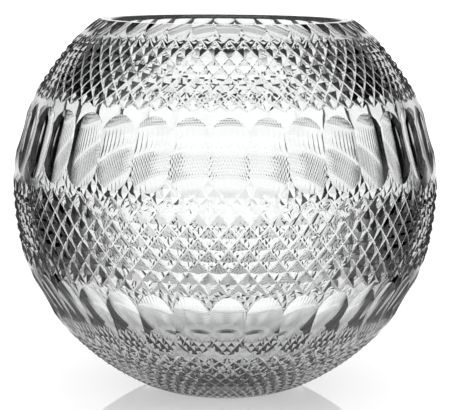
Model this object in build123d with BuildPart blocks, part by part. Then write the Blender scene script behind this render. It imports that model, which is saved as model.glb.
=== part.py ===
from build123d import *
import math
import os

os.makedirs("parts", exist_ok=True)

# Rose bowl of cut lead crystal, in millimetres: one thick ball of clear glass,
# blown, ground flat at the rim and the foot, then cut on the wheel and polished.
# It stands on z = 0, its axis is Z, and the middle of a flute faces -Y.

# The blown ball and its cavity
belly_radius = 100
rim_radius = 60.2  # outer edge of the flat rim
foot_radius = 28
wall_thickness = 7
base_thickness = 8
lip_width = 6.4  # flat rim, from its outer edge in to the bore
lip_depth = 2  # height of the straight bore through the lip
lip_rounding = 0.6

# The polished hollow under the foot, which leaves a ring to stand on
hollow_radius = 20
hollow_depth = 1.2

# The cuts repeat round the bowl once for each flute
flute_count = 36
diamonds_per_flute = 2
groove_angle = 120  # between the two sides of a V groove
tip_polish = 0.08  # polishing takes this much off the point of each diamond
groove_overrun = 0.05  # a groove ends this far outside the glass
run_out_share = 0.75  # of its depth, left in a groove at its last crossing but one

# The three rows of flutes: the radius of the wheel that cut each, and the smaller radius
# that its edge is rounded to from side to side
neck_wheel_radius = 40
neck_edge_radius = 14.5
upper_wheel_radius = 110
upper_edge_radius = 25
lower_wheel_radius = 110
lower_edge_radius = 20

# Where each band starts and stops, as shares of the way down from rim to foot.
# The neck flutes run off over the rim, so theirs start above it.
neck_flute_shares = (-0.039, 0.039)
upper_diamond_shares = (0.0444, 0.2075)
upper_flute_shares = (0.2178, 0.3667)
middle_diamond_shares = (0.377, 0.5654)
lower_flute_shares = (0.5685, 0.7175)
base_diamond_shares = (0.7235, 0.9493)

# Rows of groove crossings in each diamond band, counted in half diamonds
upper_half_rows = 8
middle_half_rows = 8
base_half_rows = 10

# The ball's centre and the flat rim, over the surface that the foot stands on
centre_height = math.sqrt(belly_radius**2 - foot_radius**2)
rim_over_centre = math.sqrt(belly_radius**2 - rim_radius**2)
rim_height = centre_height + rim_over_centre
rim_latitude = math.degrees(math.asin(rim_over_centre / belly_radius))
foot_latitude = -math.degrees(math.asin(centre_height / belly_radius))

sector_angle = 360 / flute_count
column_angle = sector_angle / (2 * diamonds_per_flute)


def latitude_at(share):
    """Latitude on the ball at a share of the way down from the rim to the foot."""
    return rim_latitude + share * (foot_latitude - rim_latitude)


def on_ball(latitude, azimuth, radius):
    """Point at that latitude and azimuth, at a distance from the ball's centre."""
    level = radius * math.cos(math.radians(latitude))
    turn = math.radians(azimuth)
    rise = radius * math.sin(math.radians(latitude))
    return Vector(level * math.cos(turn), level * math.sin(turn), centre_height + rise)


def diamond_cutter(shares, half_rows):
    """Waste that two sets of crossing V grooves take from one sector of the ball.

    Points and groove crossings alternate along each half row and swap places on
    the next one. The grooves grow shallow at both ends of the band and come out
    of the glass at its end rows, so there the sides of the grooves no longer meet
    in a point, but rise past the ball by what the crossings round it lack.
    """
    top, bottom = (latitude_at(share) for share in shares)
    step = (bottom - top) / half_rows
    half_height = belly_radius * math.radians(abs(step))
    side_slope = 1 / math.tan(math.radians(groove_angle / 2))
    columns = range(-2 * diamonds_per_flute, 2 * diamonds_per_flute + 1)

    def depth_share(row):
        rows_left = min(row, half_rows - row)
        return 0 if rows_left <= 0 else run_out_share if rows_left == 1 else 1

    def node(row, column):
        latitude = top + step * row
        half_width = belly_radius * math.cos(math.radians(latitude)) * math.radians(column_angle)
        groove_depth = side_slope * half_width * half_height / math.hypot(half_width, half_height)
        if (row + column) % 2 == 0:
            radius = belly_radius - groove_depth * depth_share(row)
            if row in (0, half_rows):
                radius += groove_overrun
        else:
            crossings = depth_share(row - 1) + 2 * depth_share(row) + depth_share(row + 1)
            radius = belly_radius - tip_polish + groove_depth * (1 - crossings / 4)
        return on_ball(latitude, column * column_angle, radius)

    facets = []
    for row in range(half_rows):
        for column in columns[:-1]:
            corners = [node(row, column), node(row, column + 1)]
            corners += [node(row + 1, column + 1), node(row + 1, column)]
            if (row + column) % 2:
                corners = corners[1:] + corners[:1]
            facets.append((corners[0], corners[1], corners[2]))
            facets.append((corners[0], corners[2], corners[3]))

    edge = [node(0, column) for column in columns]
    edge += [node(row, columns[-1]) for row in range(1, half_rows)]
    edge += [node(half_rows, column) for column in reversed(columns)]
    edge += [node(row, columns[0]) for row in range(half_rows - 1, 0, -1)]
    outside = on_ball((top + bottom) / 2, 0, 2 * belly_radius)
    facets += [(start, end, outside) for start, end in zip(edge, edge[1:] + edge[:1])]
    return Solid(Shell([Face(Wire.make_polygon(facet, close=True)) for facet in facets]))


def flute_cutter(shares, wheel_radius, edge_radius):
    """Wheel with a rounded edge, pushed in until its dish reaches both of the shares."""
    top, bottom = (latitude_at(share) for share in shares)
    half_angle = math.radians((top - bottom) / 2)
    half_length = belly_radius * math.sin(half_angle)
    axle = belly_radius * math.cos(half_angle) + math.sqrt(wheel_radius**2 - half_length**2)
    with BuildPart() as cutter:
        with Locations(Plane(on_ball((top + bottom) / 2, 0, axle), z_dir=(0, 1, 0))):
            Torus(wheel_radius - edge_radius, edge_radius)
    return cutter.part


# One sector of the solid ball, centred on +X, with every cut that crosses it.
# Neighbouring flutes meet in the seam plane as a sharp ridge.
cutters = [
    diamond_cutter(upper_diamond_shares, upper_half_rows),
    diamond_cutter(middle_diamond_shares, middle_half_rows),
    diamond_cutter(base_diamond_shares, base_half_rows),
    flute_cutter(neck_flute_shares, neck_wheel_radius, neck_edge_radius),
    flute_cutter(upper_flute_shares, upper_wheel_radius, upper_edge_radius),
    flute_cutter(lower_flute_shares, lower_wheel_radius, lower_edge_radius),
]
seam = Vector(1, 0, 0).rotate(Axis.Z, -sector_angle / 2)
with BuildPart() as sector:
    with BuildSketch(Plane((0, 0, 0), x_dir=seam, z_dir=seam.cross(Vector(0, 0, 1)))):
        with BuildLine():
            Polyline((foot_radius, 0), (0, 0), (0, rim_height), (rim_radius, rim_height))
            ThreePointArc(
                (foot_radius, 0), (belly_radius, centre_height), (rim_radius, rim_height)
            )
        make_face()
    revolve(axis=Axis.Z, revolution_arc=sector_angle)
    add(cutters, mode=Mode.SUBTRACT)


def off_axis(shape):
    """True for a face or an edge of the sector that stays clear of the axis."""
    return all(math.hypot(corner.X, corner.Y) > foot_radius / 2 for corner in shape.vertices())


def round_the_bowl(shapes):
    """The same faces or edges in every sector."""
    turns = [sector_angle * number for number in range(flute_count)]
    return [shape.rotate(Axis.Z, turn) for turn in turns for shape in shapes]


# The space inside the bowl: round down to its widest part, then flatter over the thick
# base, with a straight bore through the lip
mouth_radius = rim_radius - lip_width
cavity_radius = belly_radius - wall_thickness
lip_angle = math.degrees(math.acos(mouth_radius / cavity_radius))
cavity_centre = rim_height - lip_depth - math.sqrt(cavity_radius**2 - mouth_radius**2)
with BuildPart() as hollows:
    with BuildSketch(Plane.XZ):
        with BuildLine():
            EllipticalCenterArc(
                (0, cavity_centre),
                cavity_radius,
                cavity_centre - base_thickness,
                start_angle=270,
                arc_size=90,
            )
            CenterArc((0, cavity_centre), cavity_radius, 0, lip_angle)
            Line((mouth_radius, rim_height - lip_depth), (mouth_radius, rim_height - lip_rounding))
            CenterArc(
                (mouth_radius + lip_rounding, rim_height - lip_rounding), lip_rounding, 90, 90
            )
            Polyline(
                (mouth_radius + lip_rounding, rim_height), (0, rim_height), (0, base_thickness)
            )
        make_face()
    revolve(axis=Axis.Z)

    # The shallow round hollow ground into the foot
    with BuildSketch(Plane.XZ):
        with BuildLine():
            ThreePointArc((hollow_radius, 0), (0, hollow_depth), (-hollow_radius, 0))
            Line((-hollow_radius, 0), (hollow_radius, 0))
        make_face()
        split(bisect_by=Plane.YZ)
    revolve(axis=Axis.Z)

# The glass lies between the cut skin of all sectors and the walls of the hollows,
# and is closed by the flat rim and by the ring that the bowl stands on
skin = round_the_bowl(sector.faces().filter_by(off_axis))
walls = hollows.faces().filter_by(GeomType.PLANE, reverse=True)
flats = []
for end in (0, -1):
    outline = sector.edges().filter_by(off_axis).group_by(Axis.Z)[end]
    opening = hollows.edges().group_by(Axis.Z)[end]
    flats.append(Face(Wire.combine(round_the_bowl(outline))[0], [Wire(opening)]))

with BuildPart() as crystal_bowl:
    add(Solid(Shell(skin + walls + flats)), clean=False)

crystal_bowl.part.label = "crystal_bowl"
export_step(crystal_bowl.part, "parts/crystal_bowl.step")
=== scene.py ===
import math

import bpy
import numpy as np
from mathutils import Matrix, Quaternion, Vector


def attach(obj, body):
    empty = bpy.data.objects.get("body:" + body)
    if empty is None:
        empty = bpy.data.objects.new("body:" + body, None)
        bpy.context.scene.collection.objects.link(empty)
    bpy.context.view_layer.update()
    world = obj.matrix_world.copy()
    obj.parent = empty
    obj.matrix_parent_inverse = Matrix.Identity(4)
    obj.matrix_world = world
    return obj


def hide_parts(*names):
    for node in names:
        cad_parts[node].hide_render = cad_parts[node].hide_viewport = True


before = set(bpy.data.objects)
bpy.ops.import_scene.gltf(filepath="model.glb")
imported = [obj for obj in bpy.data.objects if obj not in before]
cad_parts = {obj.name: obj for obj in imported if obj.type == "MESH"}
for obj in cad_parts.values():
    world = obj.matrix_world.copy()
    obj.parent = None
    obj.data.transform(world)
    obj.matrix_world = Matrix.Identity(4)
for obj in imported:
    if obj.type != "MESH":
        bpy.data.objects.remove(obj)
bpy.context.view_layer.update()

# ----------------------------------------------------------------------------------------
# The bowl: one thick ball of colourless lead crystal, blown, ground flat at the rim and the
# foot, then cut on the wheel in bands of diamonds and flutes and polished in acid. Nothing
# is joined to it, so the whole object is this one piece.

# The blown ball, its lip and its foot, in millimetres
belly_radius = 100.0
rim_radius = 60.2
foot_radius = 28.0
wall_thickness = 7.0
base_thickness = 8.0
lip_width = 6.4
lip_depth = 2.0
lip_rounding = 0.6
hollow_radius = 20.0
hollow_depth = 1.2
millimetres_in_metre = 1000

# The cuts go round 36 times, two diamonds to a flute. A diamond is two columns wide, and a
# flute, the rim and the inside are worked on three times finer columns.
flute_count = 36
diamond_columns = 4 * flute_count
fine_columns = 3 * diamond_columns

# Where each band starts and stops, as shares of the way down from the rim to the foot. The
# neck flutes run off over the rim, so theirs start above it.
neck_flute_shares = (-0.039, 0.039)
upper_diamond_shares = (0.0444, 0.2075)
upper_flute_shares = (0.2178, 0.3667)
middle_diamond_shares = (0.377, 0.5654)
lower_flute_shares = (0.5685, 0.7175)
base_diamond_shares = (0.7235, 0.9493)

# The V grooves between the diamonds: their angle, the width of their flat floor, what the
# polish takes off a diamond's point, where its blunt tip starts on the way up from a
# crossing, the least slope left below the tip, and the share of its depth left in a groove
# at its last crossing but one. Rows of crossings are counted in half diamonds.
groove_angle = math.radians(120)
groove_floor = 0.5
tip_polish = 0.08
blunt_share = 0.955
least_slope_share = 0.03
least_rise = 1e-6
run_out_share = 0.75
upper_half_rows = 8
middle_half_rows = 8
base_half_rows = 10

# The wheels that cut the flutes, and the radius that the edge of each is rounded to
neck_wheel_radius = 40
neck_edge_radius = 14.5
upper_wheel_radius = 110
upper_edge_radius = 25
lower_wheel_radius = 110
lower_edge_radius = 20

# How finely the curved surfaces are worked, in rings of points. Those of a flute are half
# way between even steps and steps that grow shorter towards its ends.
flute_ring_count = 30
flute_side_rings = 4
neck_ring_count = 16
neck_side_rings = 3
even_ring_share = 0.5
hollow_rings = 8
foot_rings = 3
plain_rings = 3
rounding_rings = 9
wall_rings = 21
floor_rings = 29

# The search for the edge of a flute: its steps, and how far it looks, which is a tenth of
# the wheel's radius deep and a fifth of half the band's height past the band
halvings = 40
rim_passes = 12
wheel_over_search = 10
past_band_share = 1.2

coarse_azimuths = np.arange(diamond_columns) * math.tau / diamond_columns
fine_azimuths = np.arange(fine_columns) * math.tau / fine_columns
sector = math.tau / flute_count
from_flute = (fine_azimuths + sector / 2) % sector - sector / 2

centre_height = math.sqrt(belly_radius**2 - foot_radius**2)
rim_over_centre = math.sqrt(belly_radius**2 - rim_radius**2)
rim_height = centre_height + rim_over_centre
rim_latitude = math.asin(rim_over_centre / belly_radius)
foot_latitude = -math.asin(centre_height / belly_radius)


def latitude_at(share):
    """Latitude at a share of the way down the ball from the rim to the foot."""
    return rim_latitude + share * (foot_latitude - rim_latitude)


def on_ball(latitudes, azimuths, radii):
    """Points at radii from the ball's centre: level = radius cos(latitude) turned to the
    azimuth, and height = centre height + radius sin(latitude)."""
    latitudes, azimuths, radii = np.broadcast_arrays(latitudes, azimuths, radii)
    level = radii * np.cos(latitudes)
    height = centre_height + radii * np.sin(latitudes)
    return np.stack((level * np.cos(azimuths), level * np.sin(azimuths), height), axis=-1)


def diamond_band(shares, half_rows):
    """Mesh of one band of diamonds: points, triangles, and the point numbers of its bottom
    and top rings. Diamond points and groove crossings alternate along a row and from row to
    row. A crossing is as deep as a V groove across half a diamond of half width a and half
    height b: p = a b / hypot(a, b) wide, depth = slope p. Grooves grow shallow at both ends
    of the band, and a point stands as far past the ball as its four crossings lack. Each
    line from a crossing to a point is then cut at two places: where the flat floor of the
    groove ends, a share floor / 2p of the way, and where the slope reaches the ball or the
    blunt tip. The floor, the slopes and the tips are flat facets between those places."""
    top, bottom = (latitude_at(share) for share in shares)
    rows = np.arange(half_rows + 1)[:, None]
    latitudes = bottom + (top - bottom) * rows / half_rows
    half_width = belly_radius * np.cos(latitudes) * math.tau / diamond_columns
    half_height = belly_radius * (top - bottom) / half_rows
    slant = half_width * half_height / np.hypot(half_width, half_height)
    depth = slant / math.tan(groove_angle / 2)
    rows_left = np.minimum(rows, half_rows - rows)
    share = np.where(rows_left > 1, 1, np.where(rows_left == 1, run_out_share, 0))
    padded = np.pad(share, ((1, 1), (0, 0)))
    lack = 1 - (padded[:-2] + 2 * share + padded[2:]) / 4
    crossing = (half_rows - rows + np.arange(diamond_columns)) % 2 == 0
    radii = belly_radius + np.where(crossing, -depth * share, depth * lack - tip_polish)

    def along(one, two, floor):
        """The two places on the lines from nodes one to nodes two, nearest first."""
        az, lat, rad, is_crossing = one
        az2, lat2, rad2, _ = two
        low, high = np.where(is_crossing, rad, rad2), np.where(is_crossing, rad2, rad)
        clear = (belly_radius - low) / np.maximum(high - low, least_rise)
        tip = np.where(high > belly_radius, clear, blunt_share)
        tip = np.clip(tip, floor + least_slope_share, blunt_share)
        places = []
        for share_up in (floor + 0 * tip, tip):
            way = np.where(is_crossing, share_up, 1 - share_up)
            radius = np.minimum(low + share_up * (high - low), belly_radius)
            places.append(on_ball(lat + way * (lat2 - lat), az + way * (az2 - az), radius))
        return places

    floor = groove_floor / (2 * slant) + 0 * radii
    azimuths, levels = np.broadcast_arrays(coarse_azimuths, latitudes + 0 * radii)
    grid = azimuths, levels, radii, crossing
    east = [np.roll(layer, -1, axis=1) for layer in grid]
    east[0] = azimuths + math.tau / diamond_columns
    level_floor, level_tip = along(grid, east, floor)
    south, north = [layer[:-1] for layer in grid], [layer[1:] for layer in grid]
    rising_floor, rising_tip = along(south, north, (floor[:-1] + floor[1:]) / 2)
    crossing_radii = radii + floor * depth
    tip_radii = belly_radius - depth * (1 - blunt_share) - tip_polish * blunt_share
    tip_radii = np.where(lack > 0, belly_radius, tip_radii)
    node_radii = np.minimum(np.where(crossing, crossing_radii, tip_radii), belly_radius)
    nodes = on_ball(levels, azimuths, node_radii)

    points = [nodes, level_floor, level_tip, rising_floor, rising_tip]
    shapes = [layer.shape[:2] for layer in points]
    sizes = np.cumsum([0] + [rows_in * columns_in for rows_in, columns_in in shapes])
    number = [np.arange(size).reshape(shape) + first
              for size, shape, first in zip(np.diff(sizes), shapes, sizes)]
    node, level_f, level_t, rising_f, rising_t = number

    def east_of(layer):
        return np.roll(layer, -1, axis=1)

    # A cell has a node at each corner, and on each side the place where the floor ends (_f)
    # and where the tip starts (_t). It is cut into triangles in one of two ways, by whether
    # its south-west corner is a crossing.
    sw, se, ne, nw = node[:-1], east_of(node)[:-1], east_of(node)[1:], node[1:]
    s_f, n_f, w_f, e_f = level_f[:-1], level_f[1:], rising_f, east_of(rising_f)
    s_t, n_t, w_t, e_t = level_t[:-1], level_t[1:], rising_t, east_of(rising_t)
    leaning = crossing[:-1]
    facets = (s_f, e_f, n_f), (s_f, n_f, w_f)
    from_sw = (
        (s_f, s_t, e_t), (s_f, e_t, e_f), (s_t, se, e_t), (sw, s_f, w_f),
        (n_f, n_t, w_t), (n_f, w_t, w_f), (n_t, nw, w_t), (ne, n_f, e_f),
    )
    from_se = (
        (w_f, w_t, s_t), (w_f, s_t, s_f), (w_t, sw, s_t), (se, e_f, s_f),
        (e_f, e_t, n_t), (e_f, n_t, n_f), (e_t, ne, n_t), (nw, w_f, n_f),
    )
    triangles = [np.stack(facet, axis=-1).reshape(-1, 3) for facet in facets]
    triangles += [np.stack(facet, axis=-1)[leaning] for facet in from_sw]
    triangles += [np.stack(facet, axis=-1)[~leaning] for facet in from_se]

    def end_ring(row):
        near_first = crossing[row]
        first = np.where(near_first, level_f[row], level_t[row])
        second = np.where(near_first, level_t[row], level_f[row])
        return np.stack((node[row], first, second), axis=-1).ravel()

    points = np.concatenate([layer.reshape(-1, 3) for layer in points])
    return points, np.concatenate(triangles), end_ring(0), end_ring(-1)


def halfway(cut, left, is_cut):
    """Where the cut ends between points that are cut and points that are left: the span is
    halved again and again, each time on the side that still holds the end."""
    for _ in range(halvings):
        middle = (cut + left) / 2
        inside = is_cut(middle)
        cut, left = np.where(inside, middle, cut), np.where(inside, left, middle)
    return cut


def flute_rings(shares, wheel, edge, rows, side_rows, over_rim=False):
    """Rings of one band of flutes from bottom to top. A flute is the dish that a wheel with
    a rounded edge leaves when it is pushed in until the dish reaches both limits of the
    band: wheel centre at R cos(half) + sqrt(wheel^2 - (R sin(half))^2) from the ball's
    centre, half being half the band's height as an angle. A point is cut if its distance
    from the wheel's axle is under wheel - edge + sqrt(edge^2 - sideways^2). Rings outside
    the dish lie on the ball."""
    top, bottom = (latitude_at(share) for share in shares)
    middle, half = (top + bottom) / 2, (top - bottom) / 2
    reach = math.sqrt(wheel**2 - (belly_radius * math.sin(half)) ** 2)
    axle = belly_radius * math.cos(half) + reach

    def is_cut(latitudes, radii):
        forward = radii * np.cos(latitudes) * np.cos(from_flute) - axle * math.cos(middle)
        upward = radii * np.sin(latitudes) - axle * math.sin(middle)
        sideways = radii * np.cos(latitudes) * np.sin(from_flute)
        rounding = np.sqrt(np.maximum(edge**2 - sideways**2, 0))
        return np.hypot(forward, upward) < wheel - edge + rounding

    def skin(latitudes):
        surface = np.full(latitudes.shape, belly_radius)
        deep = surface - wheel / wheel_over_search
        return halfway(surface, deep, lambda radii: is_cut(latitudes, radii))

    def outline(side):
        inside = np.full(fine_columns, middle)
        outside = inside + side * half * past_band_share
        return halfway(inside, outside, lambda latitudes: is_cut(latitudes, belly_radius))

    low = outline(-1)
    if over_rim:
        high = np.full(fine_columns, rim_latitude)
        for _ in range(rim_passes):
            high = np.arcsin(rim_over_centre / skin(high))
    else:
        high = outline(1)
    even = np.linspace(0, 1, rows + 1)[:, None]
    closer_at_ends = (1 - np.cos(np.linspace(0, math.pi, rows + 1)[:, None])) / 2
    ease = (1 - even_ring_share) * closer_at_ends + even_ring_share * even
    latitudes = low + (high - low) * ease
    cut = on_ball(latitudes, fine_azimuths, skin(latitudes))
    side = np.linspace(0, 1, side_rows + 1)[:-1, None]
    below = on_ball(bottom + (low - bottom) * side, fine_azimuths, belly_radius)
    if over_rim:
        return np.concatenate((below, cut))
    above = on_ball(top + (high - top) * side[::-1], fine_azimuths, belly_radius)
    return np.concatenate((below, cut, above))


def turned_rings(levels, heights, azimuths):
    """Rings of a turned form: one circle for each level (radius) and height."""
    levels, heights = np.asarray(levels)[:, None], np.asarray(heights)[:, None]
    points = levels * np.cos(azimuths), levels * np.sin(azimuths), heights + 0 * azimuths
    return np.stack(points, axis=-1)


# The foot: a shallow polished hollow, and the narrow ring that the bowl stands on
hollow_curve = (hollow_radius**2 + hollow_depth**2) / (2 * hollow_depth)
hollow_levels = np.linspace(0, hollow_radius, hollow_rings + 1)[1:]
hollow_heights = np.sqrt(hollow_curve**2 - hollow_levels**2) - hollow_curve + hollow_depth
foot_levels = np.linspace(hollow_radius, foot_radius, foot_rings + 1)[1:]
plain_latitudes = np.linspace(
    foot_latitude, latitude_at(base_diamond_shares[1]), plain_rings + 2)[1:-1]

# The inside, from the flat rim over the softened lip, down the bore and round the wall
mouth_radius = rim_radius - lip_width
cavity_radius = belly_radius - wall_thickness
cavity_centre = rim_height - lip_depth - math.sqrt(cavity_radius**2 - mouth_radius**2)
rounding = np.linspace(0, math.pi / 2, rounding_rings)
wall = np.linspace(math.acos(mouth_radius / cavity_radius), 0, wall_rings)
floor_curve = np.linspace(0, -math.pi / 2, floor_rings + 2)[1:-1]
inside_levels = np.concatenate((
    mouth_radius + lip_rounding * (1 - np.sin(rounding)),
    cavity_radius * np.cos(wall),
    cavity_radius * np.cos(floor_curve),
))
inside_heights = np.concatenate((
    rim_height - lip_rounding * (1 - np.cos(rounding)),
    cavity_centre + cavity_radius * np.sin(wall),
    cavity_centre + (cavity_centre - base_thickness) * np.sin(floor_curve),
))

points, faces = [], []


def add_points(new_points, new_faces=()):
    """Puts points on the list, with faces that number them from 0, and returns the number
    of the first."""
    first = sum(len(block) for block in points)
    points.append(new_points)
    faces.extend(block + first for block in new_faces)
    return first


def join(lower, upper):
    """Triangles between two rings, given as point numbers, the lower one first: one fan
    where a ring is a single point, and otherwise a cell for each pair of points, folded
    along the diagonal that lies deeper in the ball."""
    lower2, upper2 = np.roll(lower, -1), np.roll(upper, -1)
    if len(lower) == 1:
        return np.stack((lower + 0 * upper, upper2, upper), axis=1)
    if len(upper) == 1:
        return np.stack((lower, lower2, upper + 0 * lower), axis=1)
    place = np.concatenate(points) - (0, 0, centre_height)
    rising = np.linalg.norm(place[lower] + place[upper2], axis=1)
    falling = np.linalg.norm(place[lower2] + place[upper], axis=1)
    folds = rising <= falling
    one = np.where(folds, (lower, lower2, upper2), (lower, lower2, upper))
    two = np.where(folds, (lower, upper2, upper), (lower2, upper2, upper))
    return np.concatenate((one.T, two.T))


def add_rings(rings):
    """Puts rings of points on the list, joined to each other, and returns the point numbers
    of the first and the last."""
    numbers = [add_points(ring) + np.arange(len(ring)) for ring in rings]
    faces.extend(join(lower, upper) for lower, upper in zip(numbers, numbers[1:]))
    return numbers[0], numbers[-1]


def add_diamonds(shares, half_rows):
    """Puts a band of diamonds on the list, and returns its bottom and top ring."""
    band_points, band_triangles, bottom_ring, top_ring = diamond_band(shares, half_rows)
    first = add_points(band_points, [band_triangles])
    return bottom_ring + first, top_ring + first


# The whole skin from the middle of the foot, up the outside and down the inside
bands = [
    add_rings([np.array([[0.0, 0.0, hollow_depth]])]),
    add_rings(turned_rings(hollow_levels, hollow_heights, fine_azimuths)),
    add_rings(turned_rings(foot_levels, 0 * foot_levels, fine_azimuths)),
    add_rings(on_ball(plain_latitudes[:, None], fine_azimuths, belly_radius)),
    add_diamonds(base_diamond_shares, base_half_rows),
    add_rings(flute_rings(
        lower_flute_shares, lower_wheel_radius, lower_edge_radius,
        flute_ring_count, flute_side_rings)),
    add_diamonds(middle_diamond_shares, middle_half_rows),
    add_rings(flute_rings(
        upper_flute_shares, upper_wheel_radius, upper_edge_radius,
        flute_ring_count, flute_side_rings)),
    add_diamonds(upper_diamond_shares, upper_half_rows),
    add_rings(flute_rings(
        neck_flute_shares, neck_wheel_radius, neck_edge_radius,
        neck_ring_count, neck_side_rings, over_rim=True)),
    add_rings(turned_rings(inside_levels, inside_heights, fine_azimuths)),
    add_rings([np.array([[0.0, 0.0, base_thickness]])]),
]
faces.extend(join(below[1], above[0]) for below, above in zip(bands, bands[1:]))

# Cuts keep a sharp edge, and the dishes between them are smooth
facet_angle = math.radians(12)
bowl_mesh = bpy.data.meshes.new("crystal_bowl_cut")
bowl_mesh.from_pydata(
    (np.concatenate(points) / millimetres_in_metre).tolist(), [],
    np.concatenate(faces).tolist())
bowl_mesh.shade_smooth()
bowl_mesh.set_sharp_from_angle(angle=facet_angle)
bowl = bpy.data.objects.new("rose_bowl", bowl_mesh)
bpy.context.scene.collection.objects.link(bowl)

# Clear lead crystal: it bends light more than window glass, its cuts are acid polished to a
# faint ripple, and the ring that it stands on is scuffed grey
crystal_colour = (0.985, 0.99, 0.99, 1)
crystal_bending = 1.545
ripple_scale = 90
ripple_detail = 1
ripple_strength = 0.35
ripple_height = 0.0002
scuff_top = (0.0002, 0.0006)
scuff_roughness = 0.35
polished_roughness = 0.0

crystal = bpy.data.materials.new("clear_crystal_polished")
crystal.use_nodes = True
nodes, links = crystal.node_tree.nodes, crystal.node_tree.links
glass = nodes["Principled BSDF"]
glass.inputs["Base Color"].default_value = crystal_colour
glass.inputs["Transmission Weight"].default_value = 1
glass.inputs["IOR"].default_value = crystal_bending
where = nodes.new("ShaderNodeTexCoord")
ripple = nodes.new("ShaderNodeTexNoise")
ripple.inputs["Scale"].default_value = ripple_scale
ripple.inputs["Detail"].default_value = ripple_detail
links.new(where.outputs["Object"], ripple.inputs["Vector"])
swell = nodes.new("ShaderNodeBump")
swell.inputs["Strength"].default_value = ripple_strength
swell.inputs["Distance"].default_value = ripple_height
links.new(ripple.outputs["Fac"], swell.inputs["Height"])
links.new(swell.outputs["Normal"], glass.inputs["Normal"])
position = nodes.new("ShaderNodeSeparateXYZ")
links.new(where.outputs["Object"], position.inputs[0])
scuff = nodes.new("ShaderNodeMapRange")
scuff.inputs["From Min"].default_value = scuff_top[0]
scuff.inputs["From Max"].default_value = scuff_top[1]
scuff.inputs["To Min"].default_value = scuff_roughness
scuff.inputs["To Max"].default_value = polished_roughness
links.new(position.outputs["Z"], scuff.inputs["Value"])
links.new(scuff.outputs[0], glass.inputs["Roughness"])
bowl_mesh.materials.append(crystal)

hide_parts("crystal_bowl")
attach(bowl, "root")

# ----------------------------------------------------------------------------------------
# The studio: low white walls in front of the bowl and behind it, with cards at both sides
# and black above, which draw the cuts dark, and a soft front light over the camera. The
# ceiling lights the table and isn't seen in the glass.

# Heights are sines of the elevation, and places along are cosines to the Y axis
studio_white = (1, 1, 1, 1)
wall_level = 1.09
wall_fade = (0.28, 0.38)
front_light_level = 0.8
front_light_bottom = (0.34, 0.42)
front_light_top = (0.76, 0.82)
front_light_edge = (-0.3, -0.1)
ceiling_level = 0.8
ceiling_fade = (0.6, 0.7)

# The cards are grey seen straight, and black for light that bounces inside the glass. On
# the table the same darkness is painted shade.
card_and_painted_shade_level = 0.2
card_fade = (0.62, 0.76)

# What bounces inside the glass comes from all over the studio, which is mostly unlit, so it
# is dimmer. On the table this dimming is painted shade in its glow.
inner_bounces = (0.5, 2)
inner_share = 0.1


def math_node(tree, operation, first, second=0):
    """Adds a math node; each of its two inputs is an output to link or a number."""
    node = tree.nodes.new("ShaderNodeMath")
    node.operation = operation
    for socket, value in zip(node.inputs, (first, second)):
        if isinstance(value, (int, float)):
            socket.default_value = value
        else:
            tree.links.new(value, socket)
    return node.outputs[0]


def fade(tree, value, start, end, from_level, to_level):
    """A level that runs straight from one value to the other between start and end."""
    node = tree.nodes.new("ShaderNodeMapRange")
    for name, number in zip(("From Min", "From Max", "To Min", "To Max"),
                            (start, end, from_level, to_level)):
        node.inputs[name].default_value = number
    tree.links.new(value, node.inputs["Value"])
    return node.outputs[0]


def inner_dimming(tree, path):
    """1 for light that comes straight, less for each bounce on the inside of the glass."""
    bounces = math_node(
        tree, "MINIMUM", path.outputs["Glossy Depth"], path.outputs["Transmission Depth"])
    return fade(tree, bounces, *inner_bounces, 1, inner_share)


def card_and_painted_shade(tree, path, cover):
    """Share of light that is left where the side cards cover the view: 1 less the cover
    times the card's darkness, which is less for light that has met no mirror surface. In
    the world this darkens the studio light; on the table it is painted shade in colour and
    glow."""
    straight = fade(tree, path.outputs["Glossy Depth"], 0, 1, card_and_painted_shade_level, 0)
    dark = math_node(tree, "SUBTRACT", 1, straight)
    return math_node(tree, "SUBTRACT", 1, math_node(tree, "MULTIPLY", cover, dark))


def seen_in_glass(tree, path):
    """1 for what is seen in or through the glass, 0 for the camera and for plain light."""
    return math_node(
        tree, "MAXIMUM", path.outputs["Is Glossy Ray"], path.outputs["Is Transmission Ray"])


world = bpy.data.worlds.new("white_studio")
bpy.context.scene.world = world
world.use_nodes = True
tree = world.node_tree
where = tree.nodes.new("ShaderNodeTexCoord")
direction = tree.nodes.new("ShaderNodeSeparateXYZ")
tree.links.new(where.outputs["Generated"], direction.inputs[0])
height, along = direction.outputs["Z"], direction.outputs["Y"]
path = tree.nodes.new("ShaderNodeLightPath")

beside = fade(tree, math_node(tree, "ABSOLUTE", along), *card_fade, 1, 0)
low_wall = fade(tree, height, *wall_fade, wall_level, 0)
carded_wall = math_node(tree, "MULTIPLY", low_wall, card_and_painted_shade(tree, path, beside))
from_bottom = fade(tree, height, *front_light_bottom, 0, front_light_level)
to_top = fade(tree, height, *front_light_top, 1, 0)
to_side = fade(tree, along, *front_light_edge, 1, 0)
front_light = math_node(tree, "MULTIPLY", from_bottom, to_top)
front_light = math_node(tree, "MULTIPLY", front_light, to_side)
overhead = fade(tree, height, *ceiling_fade, 0, ceiling_level)
not_in_glass = math_node(tree, "SUBTRACT", 1, seen_in_glass(tree, path))
ceiling = math_node(tree, "MULTIPLY", overhead, not_in_glass)
lights = math_node(tree, "ADD", math_node(tree, "ADD", carded_wall, front_light), ceiling)
brightness = math_node(tree, "MULTIPLY", lights, inner_dimming(tree, path))
tree.links.new(brightness, tree.nodes["Background"].inputs["Strength"])
tree.nodes["Background"].inputs["Color"].default_value = studio_white

# ----------------------------------------------------------------------------------------
# The table: a sheet of polished white acrylic, which gives a faint reflection and takes the
# bowl's shadow. It isn't part of the object. The foot touches it at a few points only, so a
# hair of air lies between them.
table_reach = 6
air_gap = 0.0001
table_white = 0.9
table_roughness = 0.03
table_gloss = 2

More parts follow.
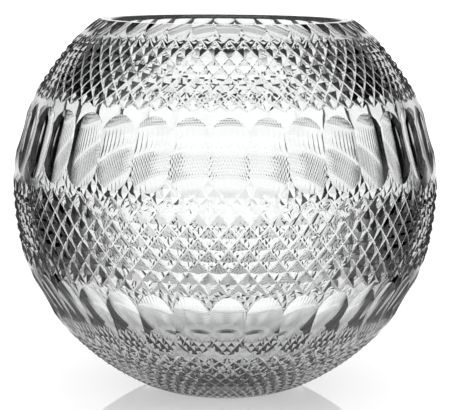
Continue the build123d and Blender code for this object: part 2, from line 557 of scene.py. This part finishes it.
# It glows only for the camera and for what is seen in or through the glass, so that the
# background is white and the bowl isn't lit by it
table_glow = 0.42
table_glow_in_glass = 0.45

# In the glass its colour and glow are darkened at both sides by painted shade that stands
# in for side cards, from this far out, and farther out along Y
painted_shade_distance = (0.07, 0.15)
painted_shade_spread = 0.7

table_mesh = bpy.data.meshes.new("white_table_top")
table_mesh.from_pydata(
    [(-table_reach, -table_reach, -air_gap), (table_reach, -table_reach, -air_gap),
     (table_reach, table_reach, -air_gap), (-table_reach, table_reach, -air_gap)],
    [], [(0, 1, 2, 3)])
table = bpy.data.objects.new("white_table", table_mesh)
bpy.context.scene.collection.objects.link(table)
acrylic = bpy.data.materials.new("white_acrylic")
acrylic.use_nodes = True
tree = acrylic.node_tree
acrylic_shader = tree.nodes["Principled BSDF"]
acrylic_shader.inputs["Roughness"].default_value = table_roughness
acrylic_shader.inputs["IOR"].default_value = table_gloss
acrylic_shader.inputs["Emission Color"].default_value = studio_white
path = tree.nodes.new("ShaderNodeLightPath")
where = tree.nodes.new("ShaderNodeTexCoord")
place = tree.nodes.new("ShaderNodeSeparateXYZ")
tree.links.new(where.outputs["Object"], place.inputs[0])
across = math_node(tree, "ABSOLUTE", place.outputs["X"])
along = math_node(tree, "ABSOLUTE", place.outputs["Y"])
painted_shade_edge = math_node(tree, "MULTIPLY", along, painted_shade_spread)
past_painted_shade_edge = math_node(tree, "SUBTRACT", across, painted_shade_edge)
in_glass = seen_in_glass(tree, path)
# Painted shade: for what is seen in or through the glass, the table's colour and glow are
# darkened at both sides past these edges, where no card stands
painted_shade_cover = fade(tree, past_painted_shade_edge, *painted_shade_distance, 0, 1)
left = card_and_painted_shade(tree, path, math_node(tree, "MULTIPLY", in_glass, painted_shade_cover))
table_white_with_painted_shade = tree.nodes.new("ShaderNodeCombineColor")
for channel in table_white_with_painted_shade.inputs:
    tree.links.new(math_node(tree, "MULTIPLY", left, table_white), channel)
tree.links.new(table_white_with_painted_shade.outputs[0], acrylic_shader.inputs["Base Color"])
camera_glow = math_node(tree, "MULTIPLY", path.outputs["Is Camera Ray"], table_glow)
glass_glow = math_node(tree, "MULTIPLY", in_glass, table_glow_in_glass)
glow = math_node(tree, "ADD", camera_glow, glass_glow)
# The glow takes the same painted shade at the sides
glow = math_node(tree, "MULTIPLY", glow, left)
# Painted shade: the glow is dimmed for what is seen after bounces inside the glass
glow = math_node(tree, "MULTIPLY", glow, inner_dimming(tree, path))
tree.links.new(glow, acrylic_shader.inputs["Emission Strength"])
table_mesh.materials.append(acrylic)

# ----------------------------------------------------------------------------------------
# The camera: a long lens, a little above the bowl, with the whole globe in the frame. Light
# is followed through as many cut faces as it meets, and colours are shown as they are.
film_width = 36
focal_length = 125.9
nearest_sight = 0.05
camera_place = (-0.0133, -0.7409, 0.2071)
camera_aim = (0, 0, 0.0877)
camera_roll = math.radians(0.41)
light_bounces = 32
mirror_bounces = 16

bpy.context.scene.cycles.max_bounces = light_bounces
bpy.context.scene.cycles.transmission_bounces = light_bounces
bpy.context.scene.cycles.glossy_bounces = mirror_bounces
bpy.context.scene.view_settings.view_transform = "Standard"
camera_data = bpy.data.cameras.new("long_lens")
camera_data.sensor_width = film_width
camera_data.lens = focal_length
camera_data.clip_start = nearest_sight
camera = bpy.data.objects.new("studio_camera", camera_data)
bpy.context.scene.collection.objects.link(camera)
camera.location = camera_place
sight = Vector(camera_aim) - camera.location
camera.rotation_mode = "QUATERNION"
level_sight = sight.to_track_quat("-Z", "Y")
camera.rotation_quaternion = level_sight @ Quaternion((0, 0, 1), camera_roll)
bpy.context.scene.camera = camera
